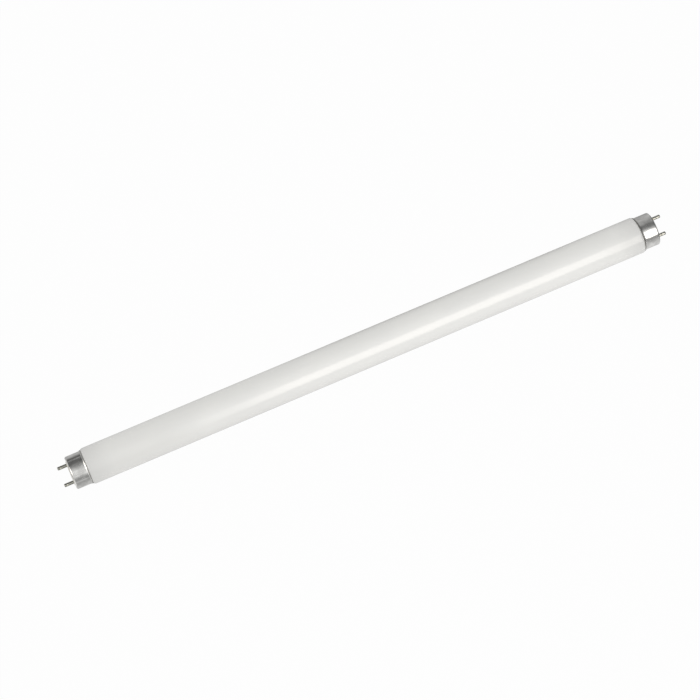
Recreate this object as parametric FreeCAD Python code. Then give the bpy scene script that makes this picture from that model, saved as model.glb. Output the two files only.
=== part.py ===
import FreeCAD, Part
import math
import os

# Linear fluorescent lamp, in millimetres: a sealed, coated glass tube with a
# two-pin metal cap cemented on each end.
# +X runs along the tube to the right, +Y runs across it from the front pin to
# the back pin, and +Z is up. The origin is the middle of the tube.
# Both ends are the same, so each piece is made for the right end and mirrored.

# Glass tube. It is closed at each end by a stem: a glass funnel fused to the
# tube's rim, with an exhaust tube sealed off down its middle.
tube_length = 437.4  # from the end face of one cap to that of the other
tube_diameter = 26.0
shoulder_length = 3.35  # where the glass narrows to the neck inside the cap
rim_thickness = 2.2  # ring where the stem is fused to the tube
rim_clearance = 2.3  # from the rim to the insulator's plate
stem_bore = 10.0
stem_depth = 20.0  # from the rim to the pinch that closes the stem
stem_flare_length = 7.5
exhaust_diameter = 4.0
exhaust_setback = 2.0  # from the rim to the exhaust tube's sealed tip

# Cap shell, drawn from thin sheet, with its open edge flared over the shoulder
cap_length = 11.5
cap_inset = 1.2  # step from the surface of the glass in to that of the cap
cap_wall = 0.3
cap_corner_radius = 1.2
cap_flare_length = 1.6
cap_flare_rise = 0.55
cap_gap = 0.15  # along the tube, from the open edge of the cap to the glass

# Cement that holds the cap on the neck
cement_thickness = 0.5
cement_length = 3.5
cement_setback = 0.3  # from the start of the flare to the cement

# Insulator, moulded round the pins and through the opening in the cap
insulator_width = 5.8
insulator_end_margin = 2.2  # from a pin's axis to the insulator's end
insulator_corner_radius = 2.2
insulator_proud = 0.35
insulator_edge_chamfer = 0.15
insulator_lip = 0.4  # overlap on the cap, round the opening
plate_thickness = 1.5
plate_clearance = 0.1  # from the plate's rim to the cap's inner corner

# Contact pins, hollow, with a thicker root that the insulator is moulded round
pin_spacing = 12.7
pin_diameter = 2.35
pin_length = 7.1  # from the cap's end face to the pin's tip
pin_bore = 1.3
pin_tip_radius = 0.6
pin_tip_thickness = 1.0
pin_shoulder = 0.2  # step from the surface of the pin out to that of its root
pin_collar_rim = 0.45  # how far the collar stands out from the root
pin_collar_thickness = 0.6
pin_tail = 1.2  # from the plate's inner face to the pin's open end
pin_mouth_chamfer = 0.3
crimp_depth = 0.25
crimp_radius = 1.0
crimp_from_tip = 2.6

# Lead wires, from the stem's pinch to the tips of the pins
lead_diameter = 0.6
lead_slant_length = 4.6  # along the tube, where the wire runs out to the pin
lead_entry_length = 2.7  # from the end of the slant to the pin's mouth
bend_share = 0.45  # part of the shorter run that each bend takes up

# Radii and stations along the right half that several pieces share
tube_radius = tube_diameter / 2
cap_radius = tube_radius - cap_inset
cap_inner_radius = cap_radius - cap_wall
neck_radius = cap_inner_radius - cement_thickness
mouth_radius = neck_radius - rim_thickness
stem_radius = stem_bore / 2
exhaust_radius = exhaust_diameter / 2
pin_radius = pin_diameter / 2
pin_root_radius = pin_radius + pin_shoulder
pin_collar_radius = pin_root_radius + pin_collar_rim
lead_radius = lead_diameter / 2
pin_offset = pin_spacing / 2
lead_offset = (exhaust_radius + stem_radius) / 2

face_x = tube_length / 2
skirt_x = face_x - cap_length
plate_x = face_x - cap_wall
plate_back_x = plate_x - plate_thickness
rim_x = plate_back_x - rim_clearance
pinch_x = rim_x - stem_depth
insulator_face_x = face_x + insulator_proud
pin_tip_x = face_x + pin_length
pin_mouth_x = plate_back_x - pin_tail

# The flare is one arc, tangent to the skirt. Its edge is cut square, so the inner
# corner of the edge is the one nearest to the glass.
flare_x = skirt_x + cap_flare_length
flare_bend = (cap_flare_length**2 + cap_flare_rise**2) / (2 * cap_flare_rise)
flare_turn = math.asin(cap_flare_length / flare_bend)
lip_x = skirt_x - cap_wall * math.sin(flare_turn)
lip_radius = cap_radius + cap_flare_rise - cap_wall * math.cos(flare_turn)

# The shoulder is two equal tangent arcs. Its outer arc passes the inner corner of
# the cap's edge at cap_gap.
shoulder_drop = tube_radius - neck_radius
shoulder_bend = (shoulder_length**2 + shoulder_drop**2) / (4 * shoulder_drop)
drop_at_lip = tube_radius - lip_radius
shoulder_run_to_lip = math.sqrt(drop_at_lip * (2 * shoulder_bend - drop_at_lip))
shoulder_x = lip_x - cap_gap - shoulder_run_to_lip
neck_x = shoulder_x + shoulder_length
cement_x = max(flare_x, neck_x) + cement_setback

axis_start = FreeCAD.Vector(0, 0, 0)
along_x = FreeCAD.Vector(1, 0, 0)


def point(x, across):
    """A point of a profile or a path: x along the tube, across from its axis."""
    return FreeCAD.Vector(x, across, 0)


def line(start, end):
    return Part.LineSegment(start, end).toShape()


def quarter_arc(start, end, centre):
    """A quarter circle from start to end."""
    middle = (start + end) / 2 - centre
    radius = (start - centre).Length
    return Part.Arc(start, centre + middle.normalize() * radius, end).toShape()


def s_bend(start, end):
    """Two equal arcs that are tangent to each other, and to X at both ends."""
    run = end.x - start.x
    rise = end.y - start.y
    radius = (run**2 + rise**2) / (4 * abs(rise))
    half_turn = math.atan2(abs(rise), abs(run))
    step_x = math.copysign(radius * math.sin(half_turn), run)
    step_y = math.copysign(radius * (1 - math.cos(half_turn)), rise)
    step = point(step_x, step_y)
    centre = (start + end) / 2
    return [
        Part.Arc(start, start + step, centre).toShape(),
        Part.Arc(centre, end - step, end).toShape(),
    ]


def turned(edges):
    """The solid that a closed profile sweeps in a full turn about the tube's axis."""
    face = Part.Face(Part.Wire(edges))
    return face.revolve(axis_start, along_x, 360)


def polygon_edges(points):
    """Straight edges from each point to the next."""
    return [line(a, b) for a, b in zip(points, points[1:])]


def mirrored(shape):
    """The same piece at the tube's other end."""
    return shape.mirror(axis_start, along_x)


def glass_end_profile():
    """Edges of the right end of the glass, from the exhaust tip out to the shoulder."""
    tip = point(rim_x - exhaust_setback, 0)
    tip_edge = point(tip.x - exhaust_radius, exhaust_radius)
    mouth = point(rim_x - rim_thickness / 2, mouth_radius)
    flare_start = point(mouth.x - stem_flare_length, stem_radius)
    rim_top = point(rim_x, mouth_radius + rim_thickness / 2)
    rim_outer = point(mouth.x, neck_radius)
    neck_start = point(neck_x, neck_radius)
    shoulder_start = point(shoulder_x, tube_radius)
    return [
        quarter_arc(tip, tip_edge, point(tip_edge.x, 0)),
        *polygon_edges(
            [
                tip_edge,
                point(pinch_x, exhaust_radius),
                point(pinch_x, stem_radius),
                flare_start,
            ]
        ),
        *s_bend(flare_start, mouth),
        Part.Arc(mouth, rim_top, rim_outer).toShape(),
        line(rim_outer, neck_start),
        *s_bend(neck_start, shoulder_start),
    ]


def glass_tube():
    """The sealed glass, solid inside because nothing can be seen through its coating."""
    right = glass_end_profile()
    left = [mirrored(edge) for edge in reversed(right)]
    tip_x = rim_x - exhaust_setback
    wall = line(point(shoulder_x, tube_radius), point(-shoulder_x, tube_radius))
    axis = line(point(-tip_x, 0), point(tip_x, 0))
    return turned([*right, wall, *left, axis])


def rounded_bar(width, length, corner_radius, x_start, x_end):
    """A flat bar across the tube, with rounded corners, between two stations."""
    bar = Part.makeBox(
        x_end - x_start,
        length,
        width,
        FreeCAD.Vector(x_start, -length / 2, -width / 2),
    )
    corners = [e for e in bar.Edges if e.Vertexes[0].X != e.Vertexes[1].X]
    return bar.makeFillet(corner_radius, corners)


def insulator_neck():
    """What passes through the opening in the cap, and so the opening itself."""
    return rounded_bar(
        insulator_width - 2 * insulator_lip,
        pin_spacing + 2 * (insulator_end_margin - insulator_lip),
        insulator_corner_radius - insulator_lip,
        plate_x,
        face_x,
    )


def flare_point(turn, radius):
    """A point on the flare's arc of that radius, where it has turned away from the skirt."""
    centre_height = cap_radius + flare_bend
    return point(flare_x - radius * math.sin(turn), centre_height - radius * math.cos(turn))


def flare_arc(radius):
    """The arc of the flare's outer or inner face, from the skirt to the open edge."""
    turns = (0, flare_turn / 2, flare_turn)
    return Part.Arc(*[flare_point(turn, radius) for turn in turns]).toShape()


def cap_shell():
    """A drawn cup with a rounded corner, a flared edge and an opening for the insulator."""
    corner_x = face_x - cap_corner_radius
    corner = point(corner_x, cap_radius - cap_corner_radius)
    inner_bend = flare_bend + cap_wall
    profile = [
        line(point(face_x, 0), point(face_x, corner.y)),
        quarter_arc(point(face_x, corner.y), point(corner_x, cap_radius), corner),
        line(point(corner_x, cap_radius), point(flare_x, cap_radius)),
        flare_arc(flare_bend),
        line(flare_point(flare_turn, flare_bend), flare_point(flare_turn, inner_bend)),
        flare_arc(inner_bend),
        line(point(flare_x, cap_inner_radius), point(corner_x, cap_inner_radius)),
        quarter_arc(point(corner_x, cap_inner_radius), point(plate_x, corner.y), corner),
        *polygon_edges([point(plate_x, corner.y), point(plate_x, 0), point(face_x, 0)]),
    ]
    return turned(profile).cut(insulator_neck())


def pin_outline():
    """The outside of a pin, on the tube's axis, before it is bored and crimped."""
    collar_x = plate_x - plate_thickness / 2
    collar_start = collar_x - pin_collar_thickness / 2
    collar_end = collar_x + pin_collar_thickness / 2
    round_x = pin_tip_x - pin_tip_radius
    round_centre = point(round_x, pin_radius - pin_tip_radius)
    outline = [
        *polygon_edges(
            [
                point(pin_mouth_x, 0),
                point(pin_mouth_x, pin_radius),
                point(collar_start, pin_radius),
                point(collar_start, pin_collar_radius),
                point(collar_end, pin_collar_radius),
                point(collar_end, pin_root_radius),
                point(insulator_face_x, pin_root_radius),
                point(insulator_face_x, pin_radius),
                point(round_x, pin_radius),
            ]
        ),
        quarter_arc(point(round_x, pin_radius), point(pin_tip_x, round_centre.y), round_centre),
        *polygon_edges([point(pin_tip_x, round_centre.y), point(pin_tip_x, 0), point(pin_mouth_x, 0)]),
    ]
    return turned(outline)


def pin_hollow():
    """The bore of a pin, with a wide mouth and a small hole through the tip."""
    bore_radius = pin_bore / 2
    bore_end_x = pin_tip_x - pin_tip_thickness
    return turned(
        polygon_edges(
            [
                point(pin_mouth_x, 0),
                point(pin_mouth_x, bore_radius + pin_mouth_chamfer),
                point(pin_mouth_x + pin_mouth_chamfer, bore_radius),
                point(bore_end_x, bore_radius),
                point(bore_end_x, lead_radius),
                point(pin_tip_x, lead_radius),
                point(pin_tip_x, 0),
                point(pin_mouth_x, 0),
            ]
        )
    )


def contact_pin(side):
    """A hollow pin with two crimps, on the front (-1) or the back (+1)."""
    crimp_x = pin_tip_x - crimp_from_tip
    crimp_z = pin_radius - crimp_depth + crimp_radius
    cuts = [pin_hollow()]
    for direction in (-1, 1):
        centre = FreeCAD.Vector(crimp_x, 0, direction * crimp_z)
        cuts.append(Part.makeSphere(crimp_radius, centre))
    pin = pin_outline().cut(cuts)
    pin.translate(FreeCAD.Vector(0, side * pin_offset, 0))
    return pin


def insulator():
    """A flange outside the cap, a neck through it and a plate inside it."""
    flange = rounded_bar(
        insulator_width,
        pin_spacing + 2 * insulator_end_margin,
        insulator_corner_radius,
        face_x,
        insulator_face_x,
    )
    outer_face = max(flange.Faces, key=lambda face: face.CenterOfMass.x)
    flange = flange.makeChamfer(insulator_edge_chamfer, outer_face.Edges)
    plate_radius = cap_radius - cap_corner_radius - plate_clearance
    plate = Part.makeCylinder(plate_radius, plate_thickness, point(plate_back_x, 0), along_x)
    body = plate.fuse([insulator_neck(), flange]).removeSplitter()
    pockets = []
    for side in (-1, 1):
        pocket = pin_outline()
        pocket.translate(FreeCAD.Vector(0, side * pin_offset, 0))
        pockets.append(pocket)
    return body.cut(pockets)


def cement_ring():
    """The ring of cement between the glass neck and the cap's skirt."""
    end_x = cement_x + cement_length
    return turned(
        polygon_edges(
            [
                point(cement_x, neck_radius),
                point(cement_x, cap_inner_radius),
                point(end_x, cap_inner_radius),
                point(end_x, neck_radius),
                point(cement_x, neck_radius),
            ]
        )
    )


def rounded_path(points):
    """Straight runs through the points, joined by the largest tangent arcs that fit."""
    edges = []
    start = points[0]
    for before, corner, after in zip(points, points[1:], points[2:]):
        back = before - corner
        ahead = after - corner
        cut = bend_share * min(back.Length, ahead.Length)
        half_angle = back.getAngle(ahead) / 2
        radius = cut * math.tan(half_angle)
        print("bend radius", round(radius, 2))
        bisector = (back.normalize() + ahead.normalize()).normalize()
        arc_start = corner + back * cut
        arc_end = corner + ahead * cut
        centre = corner + bisector * (radius / math.sin(half_angle))
        arc_middle = centre - bisector * radius
        edges.append(line(start, arc_start))
        edges.append(Part.Arc(arc_start, arc_middle, arc_end).toShape())
        start = arc_end
    edges.append(line(start, points[-1]))
    return Part.Wire(edges)


def lead_wire(side):
    """The wire that joins the stem's pinch to the tip of one pin."""
    slant_end_x = pin_mouth_x - lead_entry_length
    path = rounded_path(
        [
            point(pinch_x, side * lead_offset),
            point(slant_end_x - lead_slant_length, side * lead_offset),
            point(slant_end_x, side * pin_offset),
            point(pin_tip_x, side * pin_offset),
        ]
    )
    circle = Part.makeCircle(lead_radius, point(pinch_x, side * lead_offset), along_x)
    return path.makePipeShell([Part.Wire(circle)], True, False)


def build_parts():
    """Every node by name. Pieces of the left end are mirror images of the right's."""
    parts = {"glass_tube": glass_tube()}
    right_end = {
        "end_cap": cap_shell(),
        "insulator": insulator(),
        "cement_ring": cement_ring(),
        "front_pin": contact_pin(-1),
        "back_pin": contact_pin(1),
        "front_lead": lead_wire(-1),
        "back_lead": lead_wire(1),
    }
    for name, shape in right_end.items():
        parts["right_" + name] = shape
        parts["left_" + name] = mirrored(shape)
    return parts


def main():
    os.makedirs("parts", exist_ok=True)
    for name, shape in build_parts().items():
        shape.exportStep("parts/" + name + ".step")
        print(name, "solids", len(shape.Solids), "valid", shape.isValid(), "mm3", round(shape.Volume, 2))


main()
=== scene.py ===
import math
from collections import namedtuple
from types import SimpleNamespace

import bmesh
import bpy
import numpy as np
from bpy.props import FloatProperty, FloatVectorProperty, PointerProperty
from mathutils import Matrix, Vector


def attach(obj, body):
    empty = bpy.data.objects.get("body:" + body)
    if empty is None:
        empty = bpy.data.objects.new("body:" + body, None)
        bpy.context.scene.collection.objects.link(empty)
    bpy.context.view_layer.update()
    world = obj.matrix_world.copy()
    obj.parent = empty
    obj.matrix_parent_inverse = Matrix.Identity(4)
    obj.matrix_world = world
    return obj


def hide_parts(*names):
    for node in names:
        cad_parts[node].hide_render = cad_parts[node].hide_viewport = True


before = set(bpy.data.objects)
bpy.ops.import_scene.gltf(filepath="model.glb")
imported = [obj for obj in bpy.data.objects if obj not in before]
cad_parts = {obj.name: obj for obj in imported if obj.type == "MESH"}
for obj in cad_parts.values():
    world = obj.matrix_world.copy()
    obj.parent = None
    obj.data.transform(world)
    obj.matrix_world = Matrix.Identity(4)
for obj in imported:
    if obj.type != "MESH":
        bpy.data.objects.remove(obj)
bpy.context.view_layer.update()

# A fluorescent tube with a two-pin aluminium cap on each end, dressed for the
# studio. +X runs along the tube, the pins of each end lie side by side along Y,
# and +Z is up. The origin is the middle of the tube.

bl_info = {
    "name": "Fluorescent Tube",
    "version": (1, 0, 0),
    "blender": (4, 5, 0),
    "location": "3D View > Sidebar > Tube",
    "description": "Dresses the solids of a fluorescent tube with fine surfaces and finishes",
    "category": "Object",
}

MM = 0.001

# Hidden in the caps: the stem that closes the glass, and the roots of the pins
RIM_THICKNESS = 2.2 * MM
RIM_CLEARANCE = 2.3 * MM
STEM_RADIUS = 5.0 * MM
STEM_DEPTH = 20.0 * MM
STEM_FLARE_LENGTH = 7.5 * MM
EXHAUST_RADIUS = 2.0 * MM
EXHAUST_SETBACK = 2.0 * MM
CEMENT_THICKNESS = 0.5 * MM
PLATE_THICKNESS = 1.5 * MM
PIN_ROOT_STEP = 0.2 * MM
PIN_COLLAR_RIM = 0.45 * MM
PIN_COLLAR_THICKNESS = 0.6 * MM
PIN_TAIL = 1.2 * MM
PIN_MOUTH_CHAMFER = 0.3 * MM
PIN_BORE_RADIUS = 0.65 * MM
PIN_TIP_THICKNESS = 1.0 * MM
LEAD_RADIUS = 0.3 * MM

# The insulator that comes through the cap
INSULATOR_PROUD = 0.35 * MM
OPENING_HALF_LENGTH = 8.15 * MM
OPENING_HALF_WIDTH = 2.5 * MM
OPENING_CORNER_RADIUS = 1.8 * MM

# The gap between the cap's open edge and the shoulder of the glass
CAP_GAP = 0.15 * MM

# The dimples that fix the wire in the pin, pressed by a ball of the crimp's radius
CRIMP_DEPTH = 0.25 * MM
CRIMP_RADIUS = 1.0 * MM
CRIMP_FROM_TIP = 2.6 * MM

# Points round each turned piece, and the angle past which an edge is sharp
AROUND_TUBE = 192
AROUND_PIN = 64
AROUND_TENT = 96
SHARP_ANGLE = math.radians(35.0)

# Nearer than this, two points of a profile or two corners of a mesh are one
SAME_POINT = 1e-8
SAME_CORNER = 1e-7

# The least number that anything is divided by
TINY = 1e-9

# The glass is drawn darker towards the caps, between these distances from their faces
DARKER_END_FADE = (30.0 * MM, 12.0 * MM)

# Grime at the cap's open edge, together with painted shade of the gap between that
# edge and the glass, and the duller stretched metal of its flare, fade between
# these distances from the edge
EDGE_GRIME_AND_GAP_SHADE_FADE = (0.15 * MM, 0.35 * MM)
STRETCH_FADE = (0.6 * MM, 1.6 * MM)

# How bright a stain on the metal and a speck in the moulding are beside the rest
STAIN_SHADE = 0.77
SPECK_SHADE = 0.8

# Dark colour of the cap's open edge: grime, and painted shade of the gap at the glass
EDGE_GRIME_AND_GAP_SHADE_COLOUR = (0.36, 0.35, 0.33)
CEMENT_COLOURS = ((0.6, 0.46, 0.3), (0.4, 0.29, 0.18))
WIRE_COLOUR = (0.72, 0.7, 0.66)
TARNISH_COLOUR = (0.5, 0.44, 0.36)

# What the camera and reflections see of the world, and how much of the floor's
# look is a plain white glow
BACKDROP_COLOUR = (0.98, 0.98, 0.98, 1.0)
FLOOR_GLOW_SHARE = 0.95
FLOOR_REACH = 8.0


class GlassSettings(bpy.types.PropertyGroup):
    """Sizes and colours of the glass tube."""

    length: FloatProperty(
        name="Length",
        description="From the end face of one cap to that of the other",
        default=437.4 * MM,
        unit="LENGTH",
    )
    diameter: FloatProperty(
        name="Diameter",
        description="Outside diameter of the glass",
        default=26.0 * MM,
        unit="LENGTH",
    )
    shoulder_length: FloatProperty(
        name="Shoulder length",
        description="Length over which the glass narrows to the neck in the cap",
        default=3.35 * MM,
        unit="LENGTH",
    )
    coating_colour: FloatVectorProperty(
        name="Coating",
        description="Colour of the white powder coating inside the glass",
        default=(0.885, 0.88, 0.848),
        subtype="COLOR",
        min=0.0,
        max=1.0,
    )
    thin_coating_colour: FloatVectorProperty(
        name="Thin coating",
        description="Colour where the coating is a little thinner",
        default=(0.85, 0.846, 0.82),
        subtype="COLOR",
        min=0.0,
        max=1.0,
    )
    # The colour the glass is drawn in close to the caps, darker than the rest of it
    end_colour: FloatVectorProperty(
        name="End coating",
        description="Colour close to the caps, where the coating runs out",
        default=(0.75, 0.745, 0.725),
        subtype="COLOR",
        min=0.0,
        max=1.0,
    )


class CapSettings(bpy.types.PropertyGroup):
    """Sizes and colours of the aluminium caps."""

    length: FloatProperty(
        name="Length",
        description="From the end face of the cap to its open edge",
        default=11.5 * MM,
        unit="LENGTH",
    )
    inset: FloatProperty(
        name="Inset",
        description="Step from the surface of the glass in to that of the cap",
        default=1.2 * MM,
        unit="LENGTH",
    )
    wall: FloatProperty(
        name="Wall",
        description="Thickness of the sheet",
        default=0.3 * MM,
        unit="LENGTH",
    )
    corner_radius: FloatProperty(
        name="Corner radius",
        description="Radius of the drawn corner at the end face",
        default=1.2 * MM,
        unit="LENGTH",
    )
    flare_length: FloatProperty(
        name="Flare length",
        description="Length of the skirt's flare over the shoulder of the glass",
        default=1.6 * MM,
        unit="LENGTH",
    )
    flare_rise: FloatProperty(
        name="Flare rise",
        description="How far the flare stands out from the skirt",
        default=0.55 * MM,
        unit="LENGTH",
    )
    metal_colour: FloatVectorProperty(
        name="Aluminium",
        description="Colour of the bright drawn sheet",
        default=(0.93, 0.925, 0.90),
        subtype="COLOR",
        min=0.0,
        max=1.0,
    )


class ContactSettings(bpy.types.PropertyGroup):
    """Sizes and colours of the pins and of what holds them."""

    spacing: FloatProperty(
        name="Spacing",
        description="Distance between the axes of the two pins of an end",
        default=12.7 * MM,
        unit="LENGTH",
    )
    diameter: FloatProperty(
        name="Diameter",
        description="Outside diameter of a pin",
        default=2.35 * MM,
        unit="LENGTH",
    )
    length: FloatProperty(
        name="Length",
        description="From the end face of the cap to the tip of a pin",
        default=7.1 * MM,
        unit="LENGTH",
    )
    tip_radius: FloatProperty(
        name="Tip radius",
        description="Rounding of a pin's tip",
        default=0.6 * MM,
        unit="LENGTH",
    )
    brass_colour: FloatVectorProperty(
        name="Brass",
        description="Colour where the pins' plating is thin",
        default=(0.41, 0.405, 0.345),
        subtype="COLOR",
        min=0.0,
        max=1.0,
    )
    plating_colour: FloatVectorProperty(
        name="Plating",
        description="Colour of the pins' bright plating",
        default=(0.48, 0.48, 0.44),
        subtype="COLOR",
        min=0.0,
        max=1.0,
    )
    insulator_colour: FloatVectorProperty(
        name="Insulator",
        description="Colour of the moulded insulator",
        default=(0.78, 0.75, 0.66),
        subtype="COLOR",
        min=0.0,
        max=1.0,
    )


class StudioSettings(bpy.types.PropertyGroup):
    """Light and backdrop."""

    floor_colour: FloatVectorProperty(
        name="Floor",
        description="Colour of the floor",
        default=(0.88, 0.88, 0.88),
        subtype="COLOR",
        min=0.0,
        max=1.0,
    )
    floor_drop: FloatProperty(
        name="Floor drop",
        description="How far the floor lies under the middle of the tube",
        default=0.45,
        unit="LENGTH",
    )
    sky_level: FloatProperty(
        name="Sky level",
        description="Strength of the even light from all around",
        default=0.7,
        min=0.0,
    )
    softbox_level: FloatProperty(
        name="Softbox level",
        description="Brightness of the softboxes that the tube reflects",
        default=3.2,
        min=0.0,
    )
    softbox_colour: FloatVectorProperty(
        name="Softbox colour",
        description="Slightly warm light of the softboxes",
        default=(1.0, 0.94, 0.88),
        subtype="COLOR",
        min=0.0,
        max=1.0,
    )
    key_level: FloatProperty(
        name="Key level",
        description="Brightness of the soft lamp over the middle",
        default=1.2,
        min=0.0,
    )
    fill_level: FloatProperty(
        name="Fill level",
        description="Brightness of the low lamp in front",
        default=0.5,
        min=0.0,
    )
    back_level: FloatProperty(
        name="Back level",
        description="Brightness of the low lamp behind the left half",
        default=0.7,
        min=0.0,
    )


def stations():
    """Radii and stations of the right half, worked out from the settings. The flare
    is one arc that starts level with the skirt: its radius is (length squared +
    rise squared) over twice the rise. The shoulder of the glass is an S-bend, and
    where it has dropped by d, it has run for the root of d (2 radius - d)."""
    scene = bpy.context.scene
    glass = scene.tube_glass
    cap = scene.tube_cap
    contacts = scene.tube_contacts
    half = SimpleNamespace()
    half.tube_radius = glass.diameter / 2
    half.cap_radius = half.tube_radius - cap.inset
    half.cap_inner_radius = half.cap_radius - cap.wall
    half.neck_radius = half.cap_inner_radius - CEMENT_THICKNESS
    half.mouth_radius = half.neck_radius - RIM_THICKNESS
    half.pin_radius = contacts.diameter / 2
    half.pin_offset = contacts.spacing / 2
    half.face_x = glass.length / 2
    half.plate_x = half.face_x - cap.wall
    half.plate_back_x = half.plate_x - PLATE_THICKNESS
    half.rim_x = half.plate_back_x - RIM_CLEARANCE
    half.pinch_x = half.rim_x - STEM_DEPTH
    half.insulator_face_x = half.face_x + INSULATOR_PROUD
    half.pin_tip_x = half.face_x + contacts.length
    half.pin_mouth_x = half.plate_back_x - PIN_TAIL
    skirt_x = half.face_x - cap.length
    half.flare_x = skirt_x + cap.flare_length
    half.flare_bend = (cap.flare_length**2 + cap.flare_rise**2) / (2 * cap.flare_rise)
    half.flare_turn = math.asin(cap.flare_length / half.flare_bend)
    # The shoulder passes the cap's edge at CAP_GAP
    lip_x = skirt_x - cap.wall * math.sin(half.flare_turn)
    lip_radius = half.cap_radius + cap.flare_rise - cap.wall * math.cos(half.flare_turn)
    drop = half.tube_radius - half.neck_radius
    shoulder_bend = (glass.shoulder_length**2 + drop**2) / (4 * drop)
    drop_at_lip = half.tube_radius - lip_radius
    run_to_lip = math.sqrt(drop_at_lip * (2 * shoulder_bend - drop_at_lip))
    half.shoulder_x = lip_x - CAP_GAP - run_to_lip
    half.neck_x = half.shoulder_x + glass.shoulder_length
    return half


def straight(start, end, count=2):
    """Evenly spaced points from start to end. In a profile, the last number of each
    run is its count of points."""
    share = np.linspace(0.0, 1.0, count)[:, None]
    return (1 - share) * np.array(start) + share * np.array(end)


def arc(centre, radius, start_turn, end_turn, count=10):
    """Centre plus radius times (sine, cosine) of a turn that grows evenly."""
    turn = np.linspace(start_turn, end_turn, count)
    return np.stack([centre[0] + radius * np.sin(turn), centre[1] + radius * np.cos(turn)], -1)


def s_bend(start, end, count=12):
    """Two equal tangent arcs, level at both ends: half the rise is radius times
    (1 - cosine) of the turn, and half the run is radius times its sine."""
    start = np.array(start)
    end = np.array(end)
    run, rise = end - start
    radius = (run**2 + rise**2) / (4 * abs(rise))
    turn = np.linspace(0.0, 2 * math.atan2(abs(rise), abs(run)), count)
    along = np.sign(run) * radius * np.sin(turn)
    across = np.sign(rise) * radius * (1 - np.cos(turn))
    bend = np.stack([along, across], -1)
    return np.concatenate([start + bend, (end - bend)[::-1][1:]])


def joined(*runs):
    """One profile from several runs, with the points that two runs share kept once."""
    points = np.concatenate(runs)
    steps = np.linalg.norm(np.diff(points, axis=0), axis=1)
    return points[np.concatenate([[True], steps > SAME_POINT])]


def turned(profile, around):
    """The profile point (x, r) at the angle t round the tube's axis is at
    (x, r cos t, r sin t)."""
    angle = 2 * np.pi * np.arange(around) / around
    x, radius = profile[:, :1], profile[:, 1:]
    return np.stack([x + 0 * angle, radius * np.cos(angle), radius * np.sin(angle)], -1)


def grid_faces(rows, columns, rows_closed=False, columns_closed=True):
    """The four corners of each cell of a grid, which may run all the way round
    along its rows, its columns or both."""
    row = np.arange(rows if rows_closed else rows - 1)
    column = np.arange(columns if columns_closed else columns - 1)
    row, column = np.meshgrid(row, column, indexing="ij")
    next_row = (row + 1) % rows
    next_column = (column + 1) % columns
    corners = [
        row * columns + column,
        row * columns + next_column,
        next_row * columns + next_column,
        next_row * columns + column,
    ]
    return np.stack(corners, -1).reshape(-1, 4)


def make_piece(name, grid, material, node, rows_closed=False):
    """A closed surface from a grid of points, put in place of a CAD node. Points
    that fall together are merged, which also closes the tips on the axis."""
    rows, columns = grid.shape[:2]
    mesh = bpy.data.meshes.new(name)
    mesh.from_pydata(grid.reshape(-1, 3), [], grid_faces(rows, columns, rows_closed))
    shell = bmesh.new()
    shell.from_mesh(mesh)
    bmesh.ops.remove_doubles(shell, verts=shell.verts, dist=SAME_CORNER)
    bmesh.ops.recalc_face_normals(shell, faces=shell.faces)
    shell.to_mesh(mesh)
    shell.free()
    mesh.polygons.foreach_set("use_smooth", np.ones(len(mesh.polygons), bool))
    mesh.set_sharp_from_angle(angle=SHARP_ANGLE)
    mesh.materials.append(material)
    piece = bpy.data.objects.new(name, mesh)
    bpy.context.scene.collection.objects.link(piece)
    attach(piece, "root")
    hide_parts(node)
    return piece


def glass_profile(half):
    """The glass from the middle of the tube over the shoulder, the neck, its rim and
    the stem's flare to the tip of the sealed exhaust tube, in straight runs, arcs
    and S-bends."""
    tip_x = half.rim_x - EXHAUST_SETBACK
    mouth_x = half.rim_x - RIM_THICKNESS / 2
    rim_centre = (mouth_x, half.mouth_radius + RIM_THICKNESS / 2)
    flare_start = (mouth_x - STEM_FLARE_LENGTH, STEM_RADIUS)
    exhaust_end = (tip_x - EXHAUST_RADIUS, EXHAUST_RADIUS)
    shoulder = (half.shoulder_x, half.tube_radius)
    neck = (half.neck_x, half.neck_radius)
    return joined(
        straight((0, half.tube_radius), shoulder, 45),
        s_bend(shoulder, neck),
        straight(neck, (mouth_x, half.neck_radius), 4),
        arc(rim_centre, RIM_THICKNESS / 2, 0, math.pi, 14),
        s_bend((mouth_x, half.mouth_radius), flare_start),
        straight(flare_start, (half.pinch_x, STEM_RADIUS), 4),
        straight((half.pinch_x, STEM_RADIUS), (half.pinch_x, EXHAUST_RADIUS), 3),
        straight((half.pinch_x, EXHAUST_RADIUS), exhaust_end, 6),
        arc((exhaust_end[0], 0), EXHAUST_RADIUS, 0, math.pi / 2, 8),
    )


def make_glass():
    """The glass tube: its profile and the mirror image of it, turned about the axis."""
    right = glass_profile(stations())
    left = right[:0:-1] * (-1, 1)
    grid = turned(np.concatenate([left, right]), AROUND_TUBE)
    piece = make_piece("coated_glass_tube", grid, powder_coated_glass(), "glass_tube")


def opening_distance(angle):
    """How far the edge of the bar-shaped opening is from the axis in the direction
    of each angle: on its long side half its width over the sine, on its end half
    its length over the cosine, and between them on the corner's circle."""
    across = np.abs(np.cos(angle))
    up = np.abs(np.sin(angle))
    corner_y = OPENING_HALF_LENGTH - OPENING_CORNER_RADIUS
    corner_z = OPENING_HALF_WIDTH - OPENING_CORNER_RADIUS
    side = OPENING_HALF_WIDTH / np.maximum(up, TINY)
    end = OPENING_HALF_LENGTH / np.maximum(across, TINY)
    along = across * corner_y + up * corner_z
    inside = along**2 - corner_y**2 - corner_z**2 + OPENING_CORNER_RADIUS**2
    corner = along + np.sqrt(np.maximum(inside, 0.0))
    on_end = end * up <= corner_z
    on_side = side * across <= corner_y
    return np.where(on_side, side, np.where(on_end, end, corner))


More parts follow.
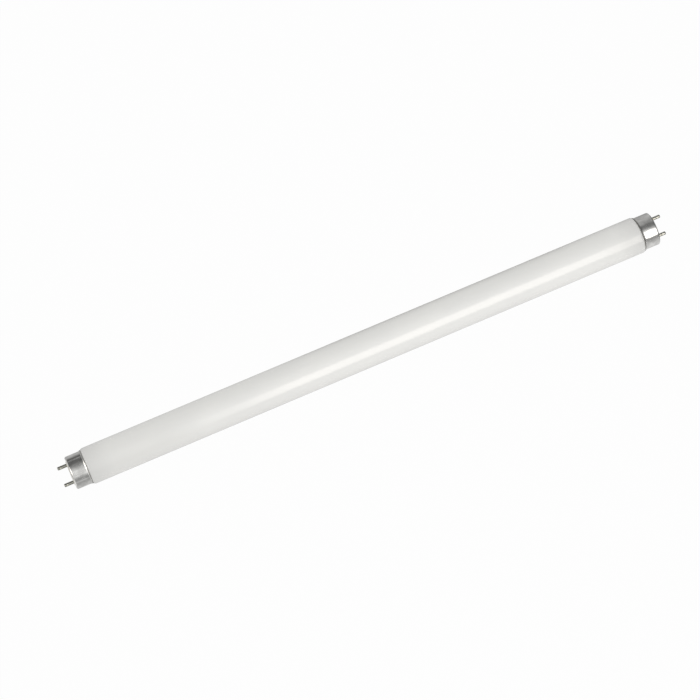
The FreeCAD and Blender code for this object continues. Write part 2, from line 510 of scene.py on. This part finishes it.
def cap_profile(half, cap):
    """The cup's section in arcs and straight runs: from the flat of its face, round
    the corner, along the skirt and the flare, over the open edge and back inside
    to the face."""
    flat_radius = half.cap_radius - cap.corner_radius
    corner = (half.face_x - cap.corner_radius, flat_radius)
    flare = (half.flare_x, half.cap_radius + half.flare_bend)
    inner_bend = half.flare_bend + cap.wall
    inner_radius = half.cap_inner_radius
    down = math.pi
    out = down + half.flare_turn
    return joined(
        arc(corner, cap.corner_radius, math.pi / 2, 0, 14),
        straight((corner[0], half.cap_radius), (half.flare_x, half.cap_radius), 14),
        arc(flare, half.flare_bend, down, out, 12),
        arc(flare, inner_bend, out, down, 12),
        straight((half.flare_x, inner_radius), (corner[0], inner_radius), 6),
        arc(corner, cap.corner_radius - cap.wall, 0, math.pi / 2, 10),
    )


def cap_grid(half, cap):
    """The turned section, and rows that blend from it in to the opening's edge on
    the outer and the inner side of the face."""
    body = turned(cap_profile(half, cap), AROUND_TUBE)
    angle = 2 * np.pi * np.arange(AROUND_TUBE) / AROUND_TUBE
    edge = opening_distance(angle)
    flat = half.cap_radius - cap.corner_radius
    share = np.linspace(0.0, 1.0, 12)[:, None]
    radius = (1 - share) * edge + share * flat
    y, z = radius * np.cos(angle), radius * np.sin(angle)
    outside = np.stack([np.full_like(y, half.face_x), y, z], -1)
    inside = np.stack([np.full_like(y, half.plate_x), y, z], -1)[::-1]
    return np.concatenate([outside[:-1], body, inside[1:]])


def make_cap(side, name, node, metal):
    """One end cap: the grid of the right one, mirrored where side is -1."""
    grid = cap_grid(stations(), bpy.context.scene.tube_cap) * (side, 1, 1)
    piece = make_piece(name, grid, metal, node, rows_closed=True)


def pin_profile(half, contacts):
    """Section of a hollow pin from its open mouth along the outside to the tip, and
    back through the hole for the wire and along the bore, in straight runs and
    one arc."""
    mouth_x = half.pin_mouth_x
    tip_x = half.pin_tip_x
    face_x = half.insulator_face_x
    radius = half.pin_radius
    collar_x = half.plate_x - PLATE_THICKNESS / 2
    collar_start = collar_x - PIN_COLLAR_THICKNESS / 2
    collar_end = collar_x + PIN_COLLAR_THICKNESS / 2
    root_radius = radius + PIN_ROOT_STEP
    collar_radius = root_radius + PIN_COLLAR_RIM
    crimp_start = tip_x - CRIMP_FROM_TIP - CRIMP_RADIUS
    crimp_end = tip_x - CRIMP_FROM_TIP + CRIMP_RADIUS
    round_x = tip_x - contacts.tip_radius
    round_radius = radius - contacts.tip_radius
    bore_end = tip_x - PIN_TIP_THICKNESS
    bore_start = mouth_x + PIN_MOUTH_CHAMFER
    mouth_radius = PIN_BORE_RADIUS + PIN_MOUTH_CHAMFER
    return joined(
        straight((mouth_x, mouth_radius), (mouth_x, radius)),
        straight((mouth_x, radius), (collar_start, radius), 3),
        straight((collar_start, collar_radius), (collar_end, collar_radius)),
        straight((collar_end, root_radius), (face_x, root_radius)),
        straight((face_x, radius), (crimp_start, radius), 6),
        straight((crimp_start, radius), (crimp_end, radius), 33),
        straight((crimp_end, radius), (round_x, radius), 3),
        arc((round_x, round_radius), contacts.tip_radius, 0, math.pi / 2, 10),
        straight((tip_x, round_radius), (tip_x, LEAD_RADIUS), 3),
        straight((tip_x, LEAD_RADIUS), (bore_end, LEAD_RADIUS)),
        straight((bore_end, PIN_BORE_RADIUS), (bore_start, PIN_BORE_RADIUS), 4),
        straight((bore_start, PIN_BORE_RADIUS), (mouth_x, mouth_radius)),
    )


def crimped(grid, half):
    """Presses a dimple into the top and the bottom of the outside: at the distance
    dx from its middle and the angle t from +Y, the radius is at most
    h |sin t| - sqrt(R2 - dx2 - (h cos t)2), where the crimping ball of radius R
    has its centre at the height h. The bore keeps its shape."""
    height = half.pin_radius - CRIMP_DEPTH + CRIMP_RADIUS
    middle_x = half.pin_tip_x - CRIMP_FROM_TIP
    bore_limit = 1.2 * PIN_BORE_RADIUS
    x, y, z = grid[..., 0], grid[..., 1], grid[..., 2]
    radius = np.maximum(np.hypot(y, z), TINY)
    sine, cosine = np.abs(z) / radius, y / radius
    inside = CRIMP_RADIUS**2 - (x - middle_x) ** 2 - (height * cosine) ** 2
    pressed = height * sine - np.sqrt(np.maximum(inside, 0.0))
    outer = radius > bore_limit
    share = np.where((inside > 0) & outer, np.minimum(pressed, radius) / radius, 1.0)
    return np.stack([x, y * share, z * share], -1)


def make_pin(side, across, name, node, metal):
    """One pin: side is its end of the tube, across its side of the axis."""
    half = stations()
    grid = crimped(turned(pin_profile(half, bpy.context.scene.tube_contacts), AROUND_PIN), half)
    grid = (grid + (0, across * half.pin_offset, 0)) * (side, 1, 1)
    piece = make_piece(name, grid, metal, node, rows_closed=True)


def new_material(name):
    """A new material with the shader that it comes with."""
    material = bpy.data.materials.new(name)
    material.use_nodes = True
    return material


class Finish:
    """The nodes of a material or world, with short ways to add to them."""

    def __init__(self, owner, shader="Principled BSDF"):
        self.owner = owner
        self.nodes = owner.node_tree.nodes
        self.links = owner.node_tree.links
        self.shader = self.nodes[shader]

    def give(self, socket, value):
        """A constant or another node's value for a socket."""
        if isinstance(value, bpy.types.NodeSocket):
            self.links.new(value, socket)
        else:
            socket.default_value = value

    def add(self, kind, inputs=None, **settings):
        """A node of that kind with its settings, and its inputs given by name."""
        node = self.nodes.new(kind)
        for key, value in settings.items():
            setattr(node, key, value)
        for key, value in (inputs or {}).items():
            self.give(node.inputs[key], value)
        return node

    def set(self, **values):
        """Constants on the shader's own sockets; _ stands for a space."""
        for key, value in values.items():
            self.shader.inputs[key.replace("_", " ")].default_value = value

    def link(self, value, socket):
        """Another node's value for a socket of the shader."""
        self.links.new(value, self.shader.inputs[socket])

    def coordinates(self, scale=(1.0, 1.0, 1.0)):
        """Object coordinates, stretched by a scale for each axis."""
        place = self.add("ShaderNodeTexCoord").outputs["Object"]
        mapping = self.add("ShaderNodeMapping", inputs={"Vector": place, "Scale": scale})
        return mapping.outputs["Vector"]

    def axes(self, vector):
        """The X, Y and Z of a vector."""
        return self.add("ShaderNodeSeparateXYZ", inputs={"Vector": vector}).outputs

    def math(self, operation, *values):
        """The result of a sum of that kind on numbers or other nodes' values."""
        node = self.add("ShaderNodeMath", operation=operation)
        for socket, value in zip(node.inputs, values):
            self.give(socket, value)
        return node.outputs["Value"]

    def noise(self, vector, scale, detail):
        """A cloudy pattern, with scale as its repeats in a metre."""
        inputs = {"Vector": vector, "Scale": scale, "Detail": detail}
        return self.add("ShaderNodeTexNoise", inputs=inputs).outputs["Fac"]

    def spread(self, value, before, after=(0.0, 1.0)):
        """Maps a value from the range before to the range after, and holds it there."""
        inputs = {
            "Value": value,
            "From Min": before[0],
            "From Max": before[1],
            "To Min": after[0],
            "To Max": after[1],
        }
        return self.add("ShaderNodeMapRange", inputs=inputs).outputs["Result"]

    def blend(self, share, first, second):
        """A colour between two, by share. The colours are the Mix node's sockets 6
        and 7, and their mixture is its output 2."""
        node = self.add("ShaderNodeMix", inputs={"Factor": share}, data_type="RGBA")
        for socket, value in ((node.inputs[6], first), (node.inputs[7], second)):
            if isinstance(value, bpy.types.NodeSocket):
                self.give(socket, value)
            else:
                self.give(socket, (*value, 1.0))
        return node.outputs[2]

    def bump(self, height, strength, distance):
        """The surface's direction where it is raised by a height."""
        inputs = {"Height": height, "Strength": strength, "Distance": distance}
        return self.add("ShaderNodeBump", inputs=inputs).outputs["Normal"]

    def mix(self, share, first, second):
        """A shader between two, by share."""
        node = self.add("ShaderNodeMixShader", inputs={"Fac": share})
        self.links.new(first, node.inputs[1])
        self.links.new(second, node.inputs[2])
        return node.outputs["Shader"]

    def show(self, shader, output="Material Output"):
        """Puts a shader on the surface."""
        self.links.new(shader, self.nodes[output].inputs["Surface"])


def powder_coated_glass():
    """White powder behind clear glass: a matt, slightly cloudy base, drawn darker close
    to the caps, under a clear coat with the long, faint waves of drawn glass."""
    settings = bpy.context.scene.tube_glass
    finish = Finish(new_material("powder_coated_glass"))
    place = finish.coordinates()
    clouds = finish.noise(finish.coordinates((1.0, 2.2, 2.2)), scale=28.0, detail=4.0)
    clouds = finish.spread(clouds, (0.35, 0.7))
    colour = finish.blend(clouds, settings.coating_colour, settings.thin_coating_colour)
    from_middle = finish.math("ABSOLUTE", finish.axes(place)["X"])
    # Towards the caps the base colour is blended to the darker end colour
    fade = [settings.length / 2 - reach for reach in DARKER_END_FADE]
    colour = finish.blend(finish.spread(from_middle, fade), colour, settings.end_colour)
    grain = finish.noise(place, scale=2600.0, detail=2.0)
    grain = finish.spread(grain, (0.25, 0.75), (0.0, 0.35))
    colour = finish.blend(grain, colour, settings.thin_coating_colour)
    finish.link(colour, "Base Color")
    finish.link(finish.spread(clouds, (0.0, 1.0), (0.72, 0.86)), "Roughness")
    finish.set(Coat_Weight=1.0, Coat_Roughness=0.04, Coat_IOR=1.5, Specular_IOR_Level=0.1)
    powder = finish.noise(place, scale=1800.0, detail=3.0)
    finish.link(finish.bump(powder, strength=0.08, distance=0.05 * MM), "Normal")
    waves = finish.noise(finish.coordinates((0.25, 1.0, 1.0)), scale=90.0, detail=1.5)
    finish.link(finish.bump(waves, strength=0.5, distance=0.3 * MM), "Coat Normal")
    return finish.owner


def bright_aluminium():
    """Bright drawn sheet, a little stained and dented, with fine lines round the
    axis: on the skirt they follow the place along the tube, and on the face the
    distance from the axis."""
    settings = bpy.context.scene.tube_cap
    finish = Finish(new_material("bright_aluminium"))
    parts = finish.axes(finish.coordinates())
    squares = [finish.math("MULTIPLY", parts[axis], parts[axis]) for axis in ("Y", "Z")]
    radius = finish.math("SQRT", finish.math("ADD", *squares))
    rings = finish.add("ShaderNodeCombineXYZ", inputs={"X": parts["X"], "Y": radius})
    lines = finish.noise(rings.outputs["Vector"], scale=2400.0, detail=3.0)
    stains = finish.noise(finish.coordinates((0.8, 1.0, 1.0)), scale=300.0, detail=4.0)
    dents = finish.noise(finish.coordinates((0.5, 1.0, 1.0)), scale=240.0, detail=2.0)
    stained = tuple(STAIN_SHADE * channel for channel in settings.metal_colour)
    colour = finish.blend(finish.spread(stains, (0.38, 0.62)), settings.metal_colour, stained)
    edge_x = bpy.context.scene.tube_glass.length / 2 - settings.length
    from_edge = finish.math("SUBTRACT", finish.math("ABSOLUTE", parts["X"]), edge_x)
    # Painted shade: the band at the open edge is darkened as the gap's shade would darken it, as
    # well as by grime
    grime_and_gap_shade = finish.spread(from_edge, EDGE_GRIME_AND_GAP_SHADE_FADE, (0.85, 0.0))
    finish.link(finish.blend(grime_and_gap_shade, colour, EDGE_GRIME_AND_GAP_SHADE_COLOUR), "Base Color")
    roughness = finish.spread(stains, (0.3, 0.7), (0.08, 0.17))
    stretched = finish.spread(from_edge, STRETCH_FADE, (0.3, 0.0))
    finish.link(finish.math("MAXIMUM", roughness, stretched), "Roughness")
    finish.set(Metallic=1.0)
    relief = finish.math("ADD", finish.math("MULTIPLY", lines, 0.012), dents)
    finish.link(finish.bump(relief, strength=0.9, distance=0.12 * MM), "Normal")
    return finish.owner


def plated_brass():
    """Plated brass, warmer where the plating is thin, with fine lines round the pin."""
    settings = bpy.context.scene.tube_contacts
    finish = Finish(new_material("plated_brass"))
    thin = finish.noise(finish.coordinates(), scale=420.0, detail=4.0)
    thin = finish.spread(thin, (0.35, 0.65))
    colour = finish.blend(thin, settings.plating_colour, settings.brass_colour)
    finish.link(colour, "Base Color")
    finish.link(finish.spread(thin, (0.0, 1.0), (0.18, 0.32)), "Roughness")
    finish.set(Metallic=1.0)
    lines = finish.noise(finish.coordinates((1.0, 0.05, 0.05)), scale=3200.0, detail=2.0)
    finish.link(finish.bump(lines, strength=0.15, distance=0.02 * MM), "Normal")
    return finish.owner


def moulded_insulator():
    """Pale moulding with fine specks and a slightly uneven skin."""
    settings = bpy.context.scene.tube_contacts
    finish = Finish(new_material("moulded_insulator"))
    specks = finish.noise(finish.coordinates(), scale=2200.0, detail=3.0)
    speck_colour = tuple(SPECK_SHADE * channel for channel in settings.insulator_colour)
    share = finish.spread(specks, (0.45, 0.75), (0.0, 0.8))
    finish.link(finish.blend(share, settings.insulator_colour, speck_colour), "Base Color")
    finish.link(finish.spread(specks, (0.3, 0.7), (0.42, 0.6)), "Roughness")
    finish.link(finish.bump(specks, strength=0.2, distance=0.03 * MM), "Normal")
    return finish.owner


def baked_cement():
    """Brown resin cement with coarse grains."""
    finish = Finish(new_material("baked_cement"))
    grains = finish.noise(finish.coordinates(), scale=1300.0, detail=5.0)
    share = finish.spread(grains, (0.3, 0.7))
    finish.link(finish.blend(share, *CEMENT_COLOURS), "Base Color")
    finish.link(finish.spread(grains, (0.3, 0.7), (0.7, 0.95)), "Roughness")
    finish.link(finish.bump(grains, strength=0.5, distance=0.1 * MM), "Normal")
    return finish.owner


def drawn_wire():
    """Drawn wire with lines along it and a little tarnish."""
    finish = Finish(new_material("drawn_wire"))
    tarnish = finish.noise(finish.coordinates(), scale=500.0, detail=3.0)
    share = finish.spread(tarnish, (0.35, 0.7))
    finish.link(finish.blend(share, WIRE_COLOUR, TARNISH_COLOUR), "Base Color")
    finish.link(finish.spread(tarnish, (0.3, 0.7), (0.25, 0.42)), "Roughness")
    finish.set(Metallic=1.0)
    lines = finish.noise(finish.coordinates((0.03, 1.0, 1.0)), scale=9000.0, detail=2.0)
    finish.link(finish.bump(lines, strength=0.2, distance=0.02 * MM), "Normal")
    return finish.owner


def dress(nodes, material):
    """Puts a material on CAD nodes that stay, each of which has one slot."""
    for name in nodes:
        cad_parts[name].material_slots[0].material = material


# The camera: above the tube, 15 degrees towards its back pins, opposite the left
# cap. It looks at a place given along the tube and up the picture from its axis.
# The sensor's width is in millimetres.
CAMERA_TILT = math.radians(15.0)
CAMERA_DISTANCE = 1.901
CAMERA_X = -0.223
AIM_X = -0.0102
AIM_UP = 0.0037
TUBE_RISE = math.radians(22.81)
FOCAL_PIXELS = 2785.0
PICTURE_PIXELS = 700
SENSOR_WIDTH = 36.0


def make_camera():
    """The camera's x and y axes are turned about its line of sight, so that the
    tube rises to the right by TUBE_RISE in the picture."""
    towards = Vector((0.0, math.sin(CAMERA_TILT), math.cos(CAMERA_TILT)))
    up_picture = Vector((0.0, math.cos(CAMERA_TILT), -math.sin(CAMERA_TILT)))
    place = Vector((CAMERA_X, 0.0, 0.0)) + CAMERA_DISTANCE * towards
    aim = Vector((AIM_X, 0.0, 0.0)) + AIM_UP * up_picture
    back = (place - aim).normalized()
    along = Vector((1.0, 0.0, 0.0))
    along = (along - along.dot(back) * back).normalized()
    across = back.cross(along)
    right = math.cos(TUBE_RISE) * along - math.sin(TUBE_RISE) * across
    up = math.sin(TUBE_RISE) * along + math.cos(TUBE_RISE) * across
    lens = bpy.data.cameras.new("photo_camera")
    lens.sensor_width = SENSOR_WIDTH
    lens.lens = SENSOR_WIDTH * FOCAL_PIXELS / PICTURE_PIXELS
    camera = bpy.data.objects.new("photo_camera", lens)
    turn = Matrix((right, up, back)).transposed().to_4x4()
    camera.matrix_world = Matrix.Translation(place) @ turn
    bpy.context.scene.collection.objects.link(camera)
    bpy.context.scene.camera = camera


def sheet_object(name, grid, material):
    """An open sheet of the stage, from a grid of points."""
    rows, columns = grid.shape[:2]
    mesh = bpy.data.meshes.new(name)
    mesh.from_pydata(grid.reshape(-1, 3), [], grid_faces(rows, columns, columns_closed=False))
    mesh.materials.append(material)
    sheet = bpy.data.objects.new(name, mesh)
    bpy.context.scene.collection.objects.link(sheet)
    return sheet


def seen_directly(finish):
    """1 for what the camera sees directly, in a reflection or through glass."""
    path = finish.add("ShaderNodeLightPath").outputs
    seen = finish.math("MAXIMUM", path["Is Camera Ray"], path["Is Glossy Ray"])
    return finish.math("MAXIMUM", seen, path["Is Transmission Ray"])


def make_world(settings):
    """Even light from all around, plain white to the camera and to reflections."""
    world = bpy.data.worlds.new("studio")
    bpy.context.scene.world = world
    world.use_nodes = True
    finish = Finish(world, "Background")
    finish.set(Color=(1.0, 1.0, 1.0, 1.0), Strength=settings.sky_level)
    backdrop = finish.add("ShaderNodeBackground", inputs={"Color": BACKDROP_COLOUR})
    light = finish.shader.outputs["Background"]
    seen = backdrop.outputs["Background"]
    finish.show(finish.mix(seen_directly(finish), light, seen), "World Output")


def floor_material(settings):
    """Matt white that keeps the shadow, lifted to plain white for the camera."""
    finish = Finish(new_material("pale_floor"))
    finish.set(Base_Color=(*settings.floor_colour, 1.0), Roughness=0.9, Specular_IOR_Level=0.0)
    share = finish.math("MULTIPLY", seen_directly(finish), FLOOR_GLOW_SHARE)
    glow = finish.add("ShaderNodeEmission", inputs={"Strength": 1.0})
    finish.show(finish.mix(share, finish.shader.outputs["BSDF"], glow.outputs["Emission"]))
    return finish.owner


def make_floor(settings):
    """A level square under the tube."""
    edges = FLOOR_REACH * np.array([-1.0, 1.0])
    x, y = np.meshgrid(edges, edges)
    grid = np.stack([x, y, np.full_like(x, -settings.floor_drop)], -1)
    sheet_object("floor", grid, floor_material(settings))


# The tent of cards that only reflections see. Each pair is an angle from the
# camera's line of sight, in degrees towards the picture's lower side, and the
# brightness of the tent there, first at the tube's left end and then at its right.
LEFT_CARDS = (
    (-165, 0.50), (-122, 0.46), (-98, 0.11), (-91, 0.12), (-84, 0.32), (-76, 0.12), (-56, 0.13),
    (-41, 0.22), (-27, 0.37), (-14, 0.52), (0, 0.78), (33, 0.78), (47, 0.42), (59, 0.32),
    (68, 0.34), (75, 0.50), (84, 0.34), (97, 0.38), (112, 0.54), (180, 0.56),
)
RIGHT_CARDS = (
    (-165, 0.30), (-128, 0.42), (-112, 0.46), (-84, 0.45), (-67, 0.37), (-52, 0.30), (-38, 0.16),
    (-24, 0.19), (-10, 0.40), (0, 0.70), (48, 0.55), (57, 0.25), (64, 0.30), (72, 0.40),
    (90, 0.56), (112, 0.70), (180, 0.70),
)
TENT_RADIUS = 0.42
TENT_REACH = 6.0

# Places along the tent in metres, between which the left cards give way to the
# right ones, the tent dims past the tube's right end, a glow past its left end
# fades, and all turns plain grey far out
LEFT_TO_RIGHT = (-0.15, 0.3)
RIGHT_DIMMING = (0.5, 0.62)
RIGHT_DIMMED_SHARE = 0.3
LEFT_GLOWING = (-0.5, -0.4)
LEFT_GLOW = 0.28
FAR_OUT = (0.8, 1.6)
FAR_GREY = (0.35, 0.35, 0.35)

# A panel on the tent lies between two angles in degrees and two places in metres,
# with the blur of its long edges in degrees and the fade of its short ones in
# metres. The level of a softbox is its share of the studio's softbox level, that
# of the wide panel is its brightness, and the dark card takes away its level.
Panel = namedtuple("Panel", "angles places blur fade level")
SOFTBOXES = (
    Panel(angles=(8, 49), places=(-0.065, 0.3), blur=8, fade=0.09, level=1.0),
    Panel(angles=(3, 47), places=(0.292, 0.45), blur=8, fade=0.01, level=0.35),
    Panel(angles=(-43, 14), places=(-1.0, -0.47), blur=8, fade=0.08, level=0.6),
)
WIDE_PANEL = Panel(angles=(-20, 85), places=(-0.12, 0.27), blur=80, fade=0.03, level=1.4)
DARK_CARD = Panel(angles=(-200, -105), places=(0.0, 0.25), blur=30, fade=0.05, level=0.65)


def turn_share(degrees):
    """An angle as a share of the full turn, counted from the side away from the
    camera."""
    return (degrees + 180) / 360


def card_brightness(finish, angle, cards):
    """The brightness between two neighbouring cards changes evenly with the angle."""
    ramp = finish.add("ShaderNodeValToRGB", inputs={"Fac": angle})
    stops = ramp.color_ramp.elements
    stops.remove(stops[1])
    for index, (place, level) in enumerate(cards):
        stop = stops[0] if index == 0 else stops.new(turn_share(place))
        stop.position = turn_share(place)
        stop.color = (level, level, level, 1.0)
    return ramp.outputs["Color"]


def window(finish, value, start, end, fade):
    """1 between start and end, fading to 0 over a width around each."""
    rise = finish.spread(value, (start - fade / 2, start + fade / 2))
    fall = finish.spread(value, (end - fade / 2, end + fade / 2), (1.0, 0.0))
    return finish.math("MULTIPLY", rise, fall)


def panel_light(finish, angle, along, panel):
    """What a panel adds to the tent at an angle and a place along it."""
    low, high = [turn_share(value) for value in panel.angles]
    across = window(finish, angle, low, high, panel.blur / 360)
    length = window(finish, along, *panel.places, panel.fade)
    return finish.math("MULTIPLY", finish.math("MULTIPLY", across, length), panel.level)


def tent_material(settings):
    """Cards, one wide dim panel, one dark card and the softboxes, by the angle round
    the tube and the place along it."""
    finish = Finish(new_material("light_tent"))
    finish.owner.cycles.emission_sampling = "NONE"
    parts = finish.axes(finish.coordinates())
    along = parts["X"]
    front = finish.math("MULTIPLY", parts["Y"], -1.0)
    turn = finish.math("ARCTAN2", front, parts["Z"])
    angle = finish.spread(turn, (-math.pi, math.pi))
    angle = finish.math("ADD", angle, CAMERA_TILT / (2 * math.pi))
    left = card_brightness(finish, angle, LEFT_CARDS)
    right = card_brightness(finish, angle, RIGHT_CARDS)
    cards = finish.blend(finish.spread(along, LEFT_TO_RIGHT), left, right)
    dark = panel_light(finish, angle, along, DARK_CARD)
    cards = finish.math("MULTIPLY", cards, finish.math("SUBTRACT", 1.0, dark))
    dimming = finish.spread(along, RIGHT_DIMMING, (1.0, RIGHT_DIMMED_SHARE))
    cards = finish.math("MULTIPLY", cards, dimming)
    cards = finish.math("ADD", cards, finish.spread(along, LEFT_GLOWING, (LEFT_GLOW, 0.0)))
    far = finish.spread(finish.math("ABSOLUTE", along), FAR_OUT)
    cards = finish.blend(far, cards, FAR_GREY)
    cards = finish.math("ADD", cards, panel_light(finish, angle, along, WIDE_PANEL))
    boxes = 0.0
    for panel in SOFTBOXES:
        boxes = finish.math("ADD", boxes, panel_light(finish, angle, along, panel))
    boxes = finish.math("MULTIPLY", boxes, settings.softbox_level)
    card_light = finish.add("ShaderNodeEmission", inputs={"Strength": cards})
    warm = (*settings.softbox_colour, 1.0)
    box_light = finish.add("ShaderNodeEmission", inputs={"Color": warm, "Strength": boxes})
    both = finish.add("ShaderNodeAddShader")
    finish.links.new(card_light.outputs["Emission"], both.inputs[0])
    finish.links.new(box_light.outputs["Emission"], both.inputs[1])
    finish.show(both.outputs["Shader"])
    return finish.owner


def make_tent(settings):
    """An open cylinder round the tube's axis, seen by reflections only. Its last
    column of points lies on the first."""
    profile = straight((-TENT_REACH, TENT_RADIUS), (TENT_REACH, TENT_RADIUS), 9)
    rings = turned(profile, AROUND_TENT)
    grid = np.concatenate([rings, rings[:, :1]], axis=1)
    tent = sheet_object("light_tent", grid, tent_material(settings))
    tent.visible_camera = False
    tent.visible_diffuse = False
    tent.visible_shadow = False
    tent.visible_transmission = False


# The lamps, in metres: the key lamp hangs over the middle and a little in front, the
# others stand low behind and in front of the left half
KEY_LAMP = {"place": (0.11, -0.3, 0.5), "aim": (0.11, -0.3, 0.0), "size": (0.2, 1.2)}
BACK_LAMP = {"place": (-0.28, 0.45, 0.2), "aim": (-0.15, 0.0, 0.0), "size": (0.4, 0.3)}
FILL_LAMP = {"place": (-0.2, -0.9, 0.0), "aim": (-0.1, 0.0, 0.0), "size": (1.0, 0.5)}


def area_lamp(name, level, place, aim, size):
    """A soft lamp that reflections don't see. Its power is its level times pi times
    its area."""
    lamp = bpy.data.lights.new(name, "AREA")
    lamp.shape = "RECTANGLE"
    lamp.size, lamp.size_y = size
    lamp.energy = level * math.pi * size[0] * size[1]
    holder = bpy.data.objects.new(name, lamp)
    holder.location = place
    holder.rotation_euler = (Vector(aim) - Vector(place)).to_track_quat("-Z", "Y").to_euler()
    holder.visible_glossy = False
    bpy.context.scene.collection.objects.link(holder)


def make_lamps(settings):
    """The three soft lamps, each with its level from the settings."""
    area_lamp("key_lamp", settings.key_level, **KEY_LAMP)
    area_lamp("back_lamp", settings.back_level, **BACK_LAMP)
    area_lamp("fill_lamp", settings.fill_level, **FILL_LAMP)


class TUBE_OT_glass(bpy.types.Operator):
    """Make the coated glass tube"""

    bl_idname = "tube.glass"
    bl_label = "Glass Tube"

    def execute(self, context):
        make_glass()
        return {"FINISHED"}


class TUBE_OT_caps(bpy.types.Operator):
    """Make the two aluminium end caps"""

    bl_idname = "tube.caps"
    bl_label = "End Caps"

    def execute(self, context):
        metal = bright_aluminium()
        make_cap(-1, "left_aluminium_cap", "left_end_cap", metal)
        make_cap(1, "right_aluminium_cap", "right_end_cap", metal)
        return {"FINISHED"}


class TUBE_OT_pins(bpy.types.Operator):
    """Make the four contact pins"""

    bl_idname = "tube.pins"
    bl_label = "Contact Pins"

    def execute(self, context):
        metal = plated_brass()
        make_pin(-1, -1, "left_front_contact_pin", "left_front_pin", metal)
        make_pin(-1, 1, "left_back_contact_pin", "left_back_pin", metal)
        make_pin(1, -1, "right_front_contact_pin", "right_front_pin", metal)
        make_pin(1, 1, "right_back_contact_pin", "right_back_pin", metal)
        return {"FINISHED"}


class TUBE_OT_fittings(bpy.types.Operator):
    """Finish the insulators, the cement rings and the lead wires"""

    bl_idname = "tube.fittings"
    bl_label = "Insulators, Cement and Leads"

    def execute(self, context):
        dress(("left_insulator", "right_insulator"), moulded_insulator())
        dress(("left_cement_ring", "right_cement_ring"), baked_cement())
        leads = ("left_front_lead", "left_back_lead", "right_front_lead", "right_back_lead")
        dress(leads, drawn_wire())
        return {"FINISHED"}


class TUBE_OT_studio(bpy.types.Operator):
    """Make the floor, the light and the camera"""

    bl_idname = "tube.studio"
    bl_label = "Studio"

    def execute(self, context):
        settings = context.scene.tube_studio
        context.scene.view_settings.view_transform = "Standard"
        make_world(settings)
        make_floor(settings)
        make_tent(settings)
        make_lamps(settings)
        make_camera()
        return {"FINISHED"}


class TUBE_PT_panel(bpy.types.Panel):
    """Settings and makers of the tube"""

    bl_label = "Fluorescent Tube"
    bl_idname = "TUBE_PT_panel"
    bl_space_type = "VIEW_3D"
    bl_region_type = "UI"
    bl_category = "Tube"

    def draw(self, context):
        groups = (
            (context.scene.tube_glass, ("tube.glass",)),
            (context.scene.tube_cap, ("tube.caps",)),
            (context.scene.tube_contacts, ("tube.pins", "tube.fittings")),
            (context.scene.tube_studio, ("tube.studio",)),
        )
        for group, makers in groups:
            box = self.layout.box()
            for name in group.__annotations__:
                box.prop(group, name)
            for maker in makers:
                box.operator(maker)


CLASSES = (
    GlassSettings,
    CapSettings,
    ContactSettings,
    StudioSettings,
    TUBE_OT_glass,
    TUBE_OT_caps,
    TUBE_OT_pins,
    TUBE_OT_fittings,
    TUBE_OT_studio,
    TUBE_PT_panel,
)

SETTINGS = {
    "tube_glass": GlassSettings,
    "tube_cap": CapSettings,
    "tube_contacts": ContactSettings,
    "tube_studio": StudioSettings,
}


def register():
    """Makes the settings, the operators and the panel known to Blender."""
    for cls in CLASSES:
        bpy.utils.register_class(cls)
    for name, group in SETTINGS.items():
        setattr(bpy.types.Scene, name, PointerProperty(type=group))


def unregister():
    """Takes them away again, in the opposite order."""
    for name in SETTINGS:
        delattr(bpy.types.Scene, name)
    for cls in reversed(CLASSES):
        bpy.utils.unregister_class(cls)


def main():
    """Builds the tube and its stage."""
    register()
    bpy.ops.tube.glass()
    bpy.ops.tube.caps()
    bpy.ops.tube.pins()
    bpy.ops.tube.fittings()
    bpy.ops.tube.studio()


if __name__ == "__main__":
    main()
